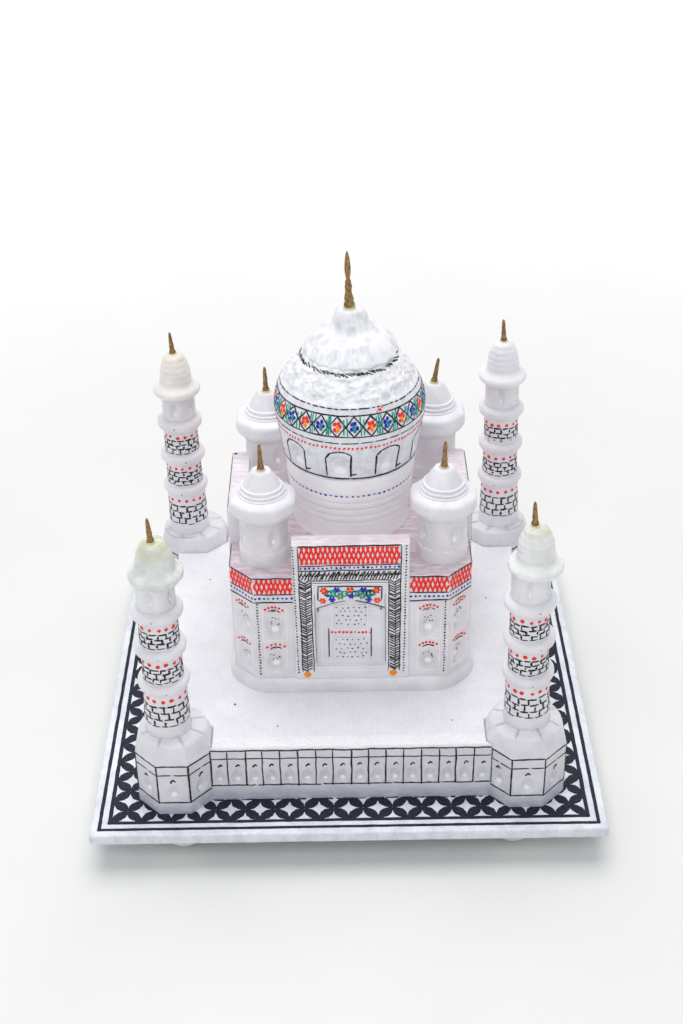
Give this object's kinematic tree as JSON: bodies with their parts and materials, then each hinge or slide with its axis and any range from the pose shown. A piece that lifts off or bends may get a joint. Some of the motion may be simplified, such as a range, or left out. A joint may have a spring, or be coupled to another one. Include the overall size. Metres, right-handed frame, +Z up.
{
  "type": "landmark model souvenir",
  "caption": "Small white stone souvenir of a domed mausoleum on a square plinth, hand painted, with corner minarets that lift out of their sockets.",
  "frame": {"origin": "centre of the base plate's outline, on the surface that the feet stand on", "axes": "+Z up, -Y towards the front portal, +X to the right when seen from the front"},
  "size_m": [0.15, 0.15, 0.1591],
  "materials": {
    "printed_stone": "pale blue-grey polished stone with a dark printed border, matt",
    "foot_stone": "translucent polished stone",
    "white_stone": "white alabaster, waxed, slightly translucent",
    "painted_stone": "white alabaster with a faint lilac wash and hand painting",
    "dome_stone": "white alabaster, hammered facets, waxed",
    "milky_stone": "greyish translucent alabaster",
    "dull_brass": "dull tarnished brass",
    "dowel_wood": "raw softwood dowel"
  },
  "bodies": {
    "monument": {"base_plate": "printed_stone", "foot_front_left": "foot_stone", "foot_front_right": "foot_stone", "foot_back_left": "foot_stone", "foot_back_right": "foot_stone", "plinth": "white_stone", "tower_front_left": "white_stone", "tower_front_right": "white_stone", "tower_back_left": "white_stone", "tower_back_right": "white_stone", "tomb_step": "white_stone", "tomb_block": "painted_stone", "portal_front": "painted_stone", "portal_right": "painted_stone", "portal_back": "painted_stone", "portal_left": "painted_stone", "dome_dowel": "dowel_wood", "drum": "dome_stone", "dome": "dome_stone", "dome_cap": "dome_stone", "dome_finial": "dull_brass", "kiosk_body_front_left": "white_stone", "kiosk_body_front_right": "white_stone", "kiosk_body_back_left": "white_stone", "kiosk_body_back_right": "white_stone", "kiosk_roof_front_left": "white_stone", "kiosk_roof_front_right": "white_stone", "kiosk_roof_back_left": "white_stone", "kiosk_roof_back_right": "white_stone", "kiosk_pin_front_left": "dull_brass", "kiosk_pin_front_right": "dull_brass", "kiosk_pin_back_left": "dull_brass", "kiosk_pin_back_right": "dull_brass"},
    "minaret_front_left": {"dowel_front_left": "dowel_wood", "shaft_front_left": "white_stone", "lantern_front_left": "milky_stone", "cap_front_left": "milky_stone", "pin_front_left": "dull_brass"},
    "minaret_front_right": {"dowel_front_right": "dowel_wood", "shaft_front_right": "white_stone", "lantern_front_right": "milky_stone", "cap_front_right": "milky_stone", "pin_front_right": "dull_brass"},
    "minaret_back_left": {"dowel_back_left": "dowel_wood", "shaft_back_left": "white_stone", "lantern_back_left": "milky_stone", "cap_back_left": "milky_stone", "pin_back_left": "dull_brass"},
    "minaret_back_right": {"dowel_back_right": "dowel_wood", "shaft_back_right": "white_stone", "lantern_back_right": "milky_stone", "cap_back_right": "milky_stone", "pin_back_right": "dull_brass"}
  },
  "joints": [
    {"name": "lift_front_left", "type": "slide", "parent": "monument", "child": "minaret_front_left", "axis": [-0.007, 0, 1], "range_m": [0, 0.012]},
    {"name": "lift_front_right", "type": "slide", "parent": "monument", "child": "minaret_front_right", "axis": [-0.0209, 0, 0.9998], "range_m": [0, 0.012]},
    {"name": "lift_back_left", "type": "slide", "parent": "monument", "child": "minaret_back_left", "axis": [-0.014, 0, 0.9999], "range_m": [0, 0.012]},
    {"name": "lift_back_right", "type": "slide", "parent": "monument", "child": "minaret_back_right", "axis": [-0.014, 0, 0.9999], "range_m": [0, 0.012]}
  ]
}
